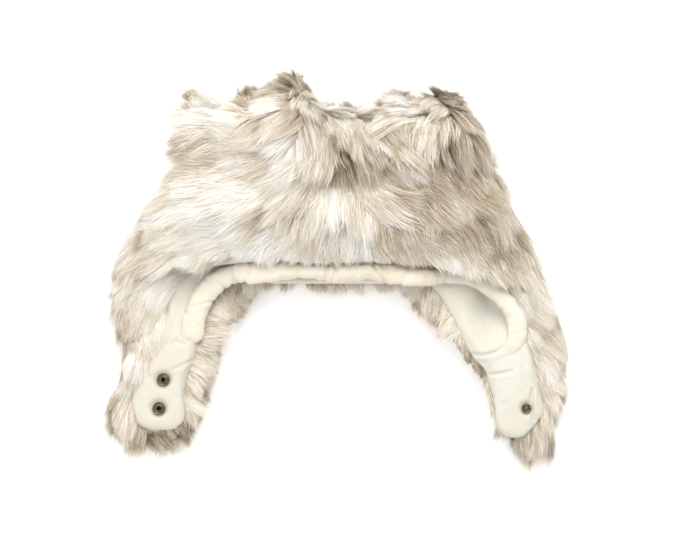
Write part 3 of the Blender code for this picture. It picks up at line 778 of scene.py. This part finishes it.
def closed_tube(name, rings, mat):
    """Closed skin through rings (n, m, 3) in mm, its ends drawn together."""
    first = np.repeat(rings[:1].mean(axis=1, keepdims=True), rings.shape[1], 1)
    last = np.repeat(rings[-1:].mean(axis=1, keepdims=True), rings.shape[1], 1)
    ob = grid_object(name, np.concatenate([first, rings, last]), mat, wrap=True)
    return weld(ob)


def flap_pad(name, rows, creases, seats, mat, hollow):
    """Padded lining of a flap: stuffed, dipped at hollow, with fold lines and flat seats for snaps."""
    ys = np.linspace(rows[0][0], rows[-1][0], 130)
    lo, li = edges_at(rows, ys)
    mid, half = 0.5 * (lo + li), 0.5 * np.abs(lo - li)
    turn = np.linspace(0.0, 2.0 * np.pi, 64, endpoint=False)
    end = np.clip((ys - rows[-1][0]) / 12.0, 0.0, 1.0)
    deep = PAD_DEEP * (1.0 - (1.0 - end) ** 2.5) ** 0.5
    x = mid[:, None] + half[:, None] * boxy(np.cos(turn), 0.7)
    z = (pad_level(ys) - PAD_DEEP)[:, None] + deep[:, None] * boxy(np.sin(turn), 0.7)
    ob = closed_tube(name, np.stack([x, ys[:, None] + 0.0 * x, z], axis=-1), mat)
    puff(ob, 2.4, 2.2, grow_cloth=0.05)
    p, n = read_points(ob)
    x, y = p[:, 0], p[:, 1]
    upper = smooth((n[:, 2] - 0.05) / 0.5)
    lift = 0.9 * still_noise(p, 30.0, 1) + 0.35 * still_noise(p, 11.0, 2)
    for points, depth, width in creases:
        lift = lift + CREASE_DEPTH * crease(x, y, points, depth, width)
    cx, cy, rx, ry, amount = hollow
    p[:, 2] -= amount * bell(x, y, cx, cy, rx, ry)
    p[:, 2] += lift * upper
    for sx, sy, r in seats:
        d = np.hypot(x - sx, y - sy)
        flat = np.exp(-(d / (r * 1.5)) ** 4) * (n[:, 2] > 0.0)
        p[:, 2] = p[:, 2] * (1.0 - flat) + (SEAT_Z - 0.6 * np.exp(-((d - r) / 1.6) ** 2)) * flat
        p[:, 2] -= 0.5 * np.exp(-((d - r - 0.8) / 1.3) ** 2) * (n[:, 2] > 0.0)
    write_points(ob, p)
    return ob


# ---- Padded bands ----

# Routes of the bands: x, y, z of the middle, half width and half depth
ROLL = (
    (-98, -5, 44, 7, 4), (-86, -5.5, 49, 9.5, 6), (-66, -5.5, 51, 10, 7), (-45, -4.5, 51, 8.8, 7),
    (-20, -4.5, 51, 8.4, 7), (-6, -6.5, 50.5, 10, 7), (14, -6, 51, 9.4, 7), (27, -5, 50.5, 8.2, 6.5),
    (44, -7, 50.5, 9.6, 7), (62, -9.5, 50, 9.2, 6.5), (80, -10, 46, 8, 5.5), (96, -11.5, 42, 6, 4),
)
LEFT_BAND = (
    (-84, -4, 45, 8, 5), (-97, -8, 43, 10, 5.5), (-109, -13, 40, 11.5, 5.5), (-120, -22, 38, 12.0, 5.5),
    (-128, -35, 37.5, 12.0, 5.5), (-133, -48, 38.5, 11.5, 5), (-135, -59, 39.5, 11, 4.5),
    (-135.5, -66, 39.5, 9.5, 4), (-136, -71, 40, 7, 3),
)
RIGHT_BAND = (
    (84, -10, 44, 7, 5), (104, -9.5, 41, 7.5, 5), (122, -11, 39.5, 8, 5), (137, -18, 38, 8.5, 5),
    (150, -28, 40, 8.5, 5.2), (161, -40, 40.5, 8.5, 5.2), (166, -54, 39.5, 9, 4.6), (165, -68, 39.5, 9, 3.6),
    (156, -78, 38, 7, 2.6), (143, -84, 36, 5, 1.6), (130, -86, 34, 3, 1),
)


def band(name, route, mat, puckers, seed, rings=110, around=40, swell=1.6):
    """Stuffed tube along a route. A pucker is a share of the length, a depth, a width and a slant."""
    pts = np.array(route, float)
    seg = np.concatenate([[0.0], np.cumsum(np.linalg.norm(np.diff(pts[:, :3], axis=0), axis=1))])
    table = [(s / seg[-1], *row) for s, row in zip(seg, route)]
    t = np.linspace(0.0, 1.0, rings)
    centre = np.stack([spline(table, t, k) for k in (1, 2, 3)], axis=-1)
    half, deep = spline(table, t, 4), spline(table, t, 5)
    tip = np.sqrt(np.clip(np.minimum(t, 1.0 - t) * seg[-1] / 6.0, 0.02, 1.0))
    forward = unit(np.gradient(centre, axis=0))
    flat = unit(np.cross(np.array([0.0, 0.0, 1.0]), forward))
    up = unit(np.cross(forward, flat))
    a = np.linspace(0.0, 2.0 * np.pi, around, endpoint=False)
    cx, cz = boxy(np.cos(a), 0.85), boxy(np.sin(a), 0.85)
    grid = (centre[:, None] + flat[:, None] * ((half * tip)[:, None] * cx[None])[..., None]
            + up[:, None] * ((deep * tip)[:, None] * cz[None])[..., None])
    ob = closed_tube(name, grid, mat)
    puff(ob, 2.0, swell, grow_cloth=0.04)
    p, n = read_points(ob)
    _, place = line_distance(p[:, 0], p[:, 1], centre[::4, :2])
    k = np.clip((place * (rings - 1)).astype(int), 0, rings - 1)
    aside = ((p - centre[k]) * flat[k]).sum(-1)
    lift = 0.7 * still_noise(p, 16.0, seed) + 0.3 * still_noise(p, 7.0, seed + 3)
    for where, depth, width, slant in puckers:
        d = (place - where) * seg[-1] - slant * aside
        beside = np.exp(-((np.abs(d) - 2.6 * width) / (1.4 * width)) ** 2)
        lift = lift - depth * np.exp(-(d / width) ** 2) + 0.3 * depth * beside
    write_points(ob, p + n * lift[:, None])
    return ob


# ---- Pile of the flaps ----

# Fur backing of a flap: y, outer edge x, inner edge x
LEFT_SKIN = (
    (22.0, -184.0, -52.0), (-11.0, -197.0, -74.0), (-29.0, -200.0, -92.0), (-48.0, -196.0, -108.0),
    (-66.0, -193.0, -116.0), (-85.0, -191.0, -121.0), (-103.0, -194.0, -127.0), (-121.0, -201.0, -132.0),
    (-140.0, -201.0, -137.0), (-150.0, -195.0, -143.0), (-158.0, -184.0, -151.0), (-162.0, -174.0, -160.0),
)
RIGHT_SKIN = (
    (22.0, 170.0, 46.0), (-11.0, 181.0, 64.0), (-29.0, 187.0, 80.0), (-48.0, 194.0, 97.0),
    (-66.0, 200.0, 111.0), (-85.0, 199.0, 125.0), (-103.0, 201.0, 138.0), (-121.0, 198.0, 144.5),
    (-140.0, 193.0, 149.0), (-150.0, 195.0, 152.0), (-159.0, 196.0, 161.0), (-164.0, 190.0, 173.0),
)


def flap_skin(rows, lining):
    """Fur side of a flap: a runs down it, b from the lining's outer edge round under to its inner edge."""
    top, tip = rows[0][0], rows[-1][0]

    def surface(a, b):
        y = top + (tip - top) * a + 0.0 * b
        out, inn = edges_at(rows, y)
        lo, li = edges_at(lining, np.maximum(y, lining[-1][0] + 1.0))
        past = smooth((lining[-1][0] + 4.0 - y) / 8.0)
        level = (pad_level(y) - PAD_DEEP) * (1.0 - 0.4 * past)
        raised = 13.0 * smooth((y + 70.0) / 55.0)
        way = np.sign(inn - out)
        mid = 0.5 * (out + inn)
        lo, li = lo * (1.0 - past) + mid * past, li * (1.0 - past) + mid * past
        knots = [(lo + way * 4.0, level + 0.3 * raised), (lo + 0.6 * (out - lo), level - 3.0 + raised),
                 (out, 0.52 * level + 0.9 * raised), (0.78 * out + 0.22 * inn, 7.0 + 0.0 * y),
                 (mid, 5.0 + 0.0 * y), (0.22 * out + 0.78 * inn, 7.0 + 0.0 * y),
                 (inn, 0.52 * level), (li + 0.6 * (inn - li), level - 3.0), (li - way * 4.0, level)]
        place = np.clip(b, 0.0, 1.0) * 8.0 + 0.0 * y
        k = np.clip(place.astype(int), 0, 7)
        f = place - k
        near = [np.clip(k + step, 0, 8) for step in (-1, 0, 1, 2)]
        weights = (0.5 * (-f + 2 * f ** 2 - f ** 3), 0.5 * (2 - 5 * f ** 2 + 3 * f ** 3),
                   0.5 * (f + 4 * f ** 2 - 3 * f ** 3), 0.5 * (f ** 3 - f ** 2))
        x, z = (sum(w * np.take_along_axis(np.stack(values), i[None], 0)[0] for w, i in zip(weights, near))
                for values in zip(*knots))
        return np.stack([x, y, z], axis=-1)

    return surface


def flap_pile(side, rows, lining, mat, seed):
    """Pile of a flap: its outer border, its inner border and its underside."""
    rng = np.random.default_rng(seed)
    surface = flap_skin(rows, lining)
    made = []
    for name, count, b_range in ((side + "_flap_pile_outer", 2100, (0.0, 0.40)),
                                 (side + "_flap_pile_inner", 1000, (0.60, 1.0)),
                                 (side + "_flap_pile_under", 500, (0.40, 0.60))):
        a, b = scatter(rng, surface, count, (0.0, 1.0), b_range, cells=(60, 30))
        p, n = surface_frame(surface, a, b, eps=(0.006, 0.01))
        middle = np.interp(-p[:, 1], [-r[0] for r in rows], [0.5 * (r[1] + r[2]) for r in rows])
        outward = unit(p - np.stack([middle, p[:, 1] + 2.0, np.full(count, 16.0)], axis=1))
        n = turned_out(n, outward)
        toe = smooth((a - 0.88) / 0.12)[:, None]
        n = unit(n + 0.6 * toe * np.array([0.0, -1.0, 0.0]))
        lie = comb(p)
        length = (28.0 + 12.0 * rng.random(count)) * (1.0 + 0.08 * toe[:, 0])
        height = (7.0 + 6.0 * rng.random(count)) * (1.0 - 0.35 * toe[:, 0])
        if "inner" in name:
            short = 0.0 if side == "left" else 1.0
            share = 0.72 - 0.30 * short * smooth((-48.0 - p[:, 1]) / 20.0)
            length, height = length * share, height * (share - 0.15)
        # near the lining the hair is laid flat and kept off it
        way = 1.0 if side == "left" else -1.0
        lo, li = edges_at(lining, np.maximum(p[:, 1], lining[-1][0] + 1.0))
        clear = np.where(b < 0.5, (lo - p[:, 0]) * way, (p[:, 0] - li) * way)
        height = height * (0.45 + 0.55 * smooth((clear + 2.0) / 12.0))
        made += grow(rng, name, p, n, lie, length, height, mat)
    return made


# ---- Snaps ----

def lathe(name, x, y, profile, mat, count=48):
    """Ring turned about a vertical axis from a closed profile of (radius, z) in mm."""
    turns = np.linspace(0.0, 2.0 * np.pi, count, endpoint=False)
    prof = np.array(profile, float)
    ring = np.stack([prof[:, None, 0] * np.cos(turns) + x, prof[:, None, 0] * np.sin(turns) + y,
                     np.repeat(prof[:, 1:2], count, axis=1)], axis=-1)
    ring = np.concatenate([ring, ring[:1]])
    ob = grid_object(name, ring, mat, wrap=True)
    return weld(ob)


def footprint(node):
    """Middle x and y, and radius, of an upright round node, in mm."""
    low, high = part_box(node)
    return 500.0 * (low.x + high.x), 500.0 * (low.y + high.y), 500.0 * (high.x - low.x)


def socket_cap(name, node, mat, dark):
    """Ring with a raised lip round a well, and the well's near-black floor, which is painted shade deep in
    the well.
    """
    x, y, r = footprint(node)
    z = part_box(node)[0].z / MM
    profile = [(2.2, z + 3.15), (2.45, z + 3.25), (2.9, z + 3.2), (3.3, z + 2.9), (3.6, z + 2.1),
               (4.0, z + 1.9), (4.5, z + 2.1), (4.9, z + 2.6), (5.4, z + 2.75), (5.9, z + 2.5), (r, z + 1.9),
               (r, z + 0.8), (r - 0.4, z + 0.1), (5.0, z), (3.3, z), (3.2, z + 0.9), (2.2, z + 0.9)]
    body = lathe(name, x, y, profile, mat)
    # near-black disc: painted shade at the bottom of the well
    floor = [(0.0, z + 0.6), (2.15, z + 0.6), (2.15, z + 0.3), (0.0, z + 0.3)]
    return body, lathe(name + "_well", x, y, floor, dark, 32)


def stud_cap(name, node, mat, dark):
    """Flanged cap with a ring of dark dots round the post of the snap: painted shade of pressed notches."""
    x, y, r = footprint(node)
    low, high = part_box(node)
    z, top = low.z / MM, high.z / MM
    rim = z + 0.45 * (top - z)
    profile = [(0.0, top), (0.9, top - 0.1), (1.5, top - 0.6), (1.7, rim - 0.1), (2.2, rim - 0.45),
               (3.0, rim - 0.2), (3.6, rim + 0.25), (r - 0.6, rim + 0.1), (r, rim - 0.6), (r - 0.1, z + 0.1),
               (r - 0.5, z), (0.0, z)]
    body = lathe(name, x, y, profile, mat)
    # dark dots: painted shade of the notches in the stud's ring
    marks = []
    for k in range(STUD_MARKS):
        turn = 2.0 * math.pi * k / STUD_MARKS
        mark_x, mark_y = x + MARK_RING * math.cos(turn), y + MARK_RING * math.sin(turn)
        dot = [(0.0, rim + 0.12), (0.42, rim + 0.02), (0.42, rim - 0.5), (0.0, rim - 0.5)]
        marks.append(lathe(f"{name}_mark_{k + 1}", mark_x, mark_y, dot, dark, 16))
    return body, marks


# ---- Build ----

def main():
    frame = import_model()
    nodes = frame["nodes"]

    pile = pile_material()
    backing = backing_material()
    cream = lining_material("lining_brushed", (0.672, 0.652, 0.572), (0.63, 0.592, 0.498))
    # The roll's and the bands' cream below is a lighter copy of the flap lining's cream: painted light that
    # offsets the shade of the pile they lie beside
    lit_cream_roll = lining_material("lining_roll_painted_light", (0.80, 0.745, 0.635), (0.745, 0.655, 0.52), 1.6)
    lit_cream_band = lining_material("lining_band_painted_light", (0.75, 0.71, 0.615), (0.70, 0.64, 0.52), 1.6)
    inner = lining_material("lining_inside", (0.80, 0.76, 0.67), (0.72, 0.66, 0.55), 1.2)
    brass = metal_material("antique_brass", (0.06, 0.05, 0.036), (0.30, 0.26, 0.185), 0.42)
    dark = metal_material("snap_well_painted_shade", (0.02, 0.018, 0.015), (0.06, 0.05, 0.04), 0.6)
    steel = metal_material("spring_wire", (0.30, 0.29, 0.27), (0.62, 0.60, 0.56), 0.3)

    # Crown: backing cloth, pile, inner lining
    v = np.linspace(0.0, 1.0, 70)
    turn = np.linspace(0.0, 2.0 * np.pi, 180, endpoint=False)
    vv, tt = np.meshgrid(v, turn, indexing="ij")
    shell = grid_object("crown_backing", crown_point(vv, tt), backing, wrap=True)
    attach(shell, "crown")
    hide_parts("crown_front_fur", "crown_back_fur", "crown_top_fur",
                "crown_front_wadding", "crown_back_wadding", "crown_top_wadding")
    inside = crown_point(vv * 0.97, tt, up=0.49, down=0.42, side=9.0, top=9.0, front_drop=13.0)
    x, y = inside[..., 0], inside[..., 1]
    ripple = (1.4 * np.sin(x * 0.09 + 0.6 * np.sin(y * 0.1)) * np.sin(y * 0.05 + 1.0)
              + 0.7 * np.sin(x * 0.21 + y * 0.04) * np.sin(y * 0.13))
    behind = np.sin(tt) < 0.0
    inside[..., 2] += ripple * np.where(behind, 1.0, -1.0) * 0.8 + np.where(behind, 0.8, -0.8)
    # at the nape the lining turns out to the edge of the fur, where it is sewn on
    nape = np.sin(turn) < -0.05
    inside[0, nape] = crown_point(np.zeros(turn.shape), turn)[nape] + np.array([0.0, -0.4, 0.0])
    lining = grid_object("crown_lining", inside, inner, wrap=True)
    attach(lining, "crown")
    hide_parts("crown_front_lining", "crown_back_lining", "crown_top_lining")
    for ob in crown_pile(pile):
        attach(ob, "crown")

    # Forehead roll and the ends of its band on the flaps
    roll = band("forehead_roll", ROLL, lit_cream_roll, rings=200, seed=2, puckers=(
        (0.08, 1.6, 1.8, 0.3), (0.22, 0.7, 3.0, -0.4), (0.33, 0.9, 2.0, 0.2), (0.46, 1.9, 1.7, 0.1),
        (0.50, 1.2, 1.5, 0.3), (0.60, 0.6, 3.5, 0.5), (0.71, 2.0, 1.6, -0.9), (0.84, 0.9, 2.6, 0.4)))
    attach(roll, "crown")
    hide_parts("forehead_roll_cover", "forehead_roll_filling")
    left_band = band("left_band_end", LEFT_BAND, lit_cream_band, seed=5, puckers=(
        (0.14, 0.9, 1.8, 0.5), (0.34, 0.9, 2.2, -0.5), (0.62, 1.0, 1.8, -0.9), (0.80, 0.7, 1.8, 0.6)))
    right_band = band("right_band_end", RIGHT_BAND, lit_cream_band, rings=140, seed=8, puckers=(
        (0.12, 0.9, 2.0, 0.4), (0.30, 0.6, 2.6, -0.5), (0.55, 0.6, 2.2, 0.4), (0.72, 0.5, 2.0, -0.4)))

    # Flaps
    snaps = {"left": ("left_upper_socket", "left_lower_socket"), "right": ("right_stud",)}
    for side, rows, skin, creases, band_end, seed, hollow in (
            ("left", LEFT_LINING, LEFT_SKIN, LEFT_CREASES, left_band, 21, LEFT_HOLLOW),
            ("right", RIGHT_LINING, RIGHT_SKIN, RIGHT_CREASES, right_band, 22, RIGHT_HOLLOW)):
        seats = [footprint(node) for node in snaps[side]]
        pad = flap_pad(side + "_flap_pad", rows, creases, seats, cream, hollow=hollow)
        surface = flap_skin(skin, rows)
        aa, bb = np.meshgrid(np.linspace(0, 1, 60), np.linspace(0, 1, 30), indexing="ij")
        under = grid_object(side + "_flap_backing", surface(aa, bb), backing)
        hairs = flap_pile(side, skin, rows, pile, seed)
        for ob in [pad, under, band_end] + hairs:
            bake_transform(ob)
        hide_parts(side + "_flap_lining", side + "_flap_wadding")
        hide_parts(side + "_flap_fur")

    # Snaps
    for tag in ("upper", "lower"):
        node = f"left_{tag}_socket"
        body, well = socket_cap(f"{tag}_snap_socket", node, brass, dark)
        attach(body, "left_flap")
        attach(well, "left_flap")
        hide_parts(node)
    cap, marks = stud_cap("right_snap_stud", "right_stud", brass, dark)
    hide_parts("right_stud")
    for ob in [cap] + marks:
        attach(ob, "right_flap")
    for name, ob in nodes.items():
        if ob.hide_render:
            continue
        finish = steel if "spring" in name else brass
        ob.data.materials.clear()
        ob.data.materials.append(finish)

    # Floor, light, camera
    corners = [(FLOOR_HALF * i, FLOOR_HALF * j, 0.0) for i, j in ((-1, -1), (1, -1), (1, 1), (-1, 1))]
    floor = mesh_object("floor", corners, [(0, 1, 2, 3)], floor_material())
    lights()
    camera()


def floor_material():
    n = Nodes("pale_floor")
    colour = n.ramp(n.noise(3.0, 2.0), ((0.3, (0.93, 0.93, 0.93)), (0.7, (0.95, 0.95, 0.95))))
    return n.set(Base_Color=colour, Roughness=0.9, Emission_Color=(1.0, 1.0, 1.0, 1.0),
                 Emission_Strength=0.22)


def lights():
    world = bpy.data.worlds.new("studio")
    bpy.context.scene.world = world
    world.use_nodes = True
    world.node_tree.nodes["Background"].inputs["Color"].default_value = (1.0, 0.992, 0.975, 1.0)
    world.node_tree.nodes["Background"].inputs["Strength"].default_value = 0.78
    for name, place, size, power in (("key", (0.25, 1.15, 1.5), 1.3, 29.0),
                                     ("fill", (-1.3, -0.3, 1.6), 1.6, 11.5)):
        data = bpy.data.lights.new(name, "AREA")
        data.size = size
        data.energy = power
        ob = add_object(name, data)
        ob.location = place
        ob.rotation_euler = (Vector((0, 0, 0)) - Vector(place)).to_track_quat("-Z", "Y").to_euler()
    bpy.context.scene.view_settings.view_transform = "Standard"
    bpy.context.scene.view_settings.look = "None"


def camera():
    data = bpy.data.cameras.new("camera")
    ob = add_object("camera", data)
    bpy.context.scene.camera = ob
    data.sensor_width = SENSOR_WIDTH
    distance, level = 2.4, 0.06
    ob.location = (0.0023, -0.0129, distance + level)
    ob.rotation_euler = (0.0, 0.0, 0.0)
    data.lens = SENSOR_WIDTH * distance / (IMAGE_WIDTH * METRES_PER_PIXEL)
    data.clip_end = 50.0


main()
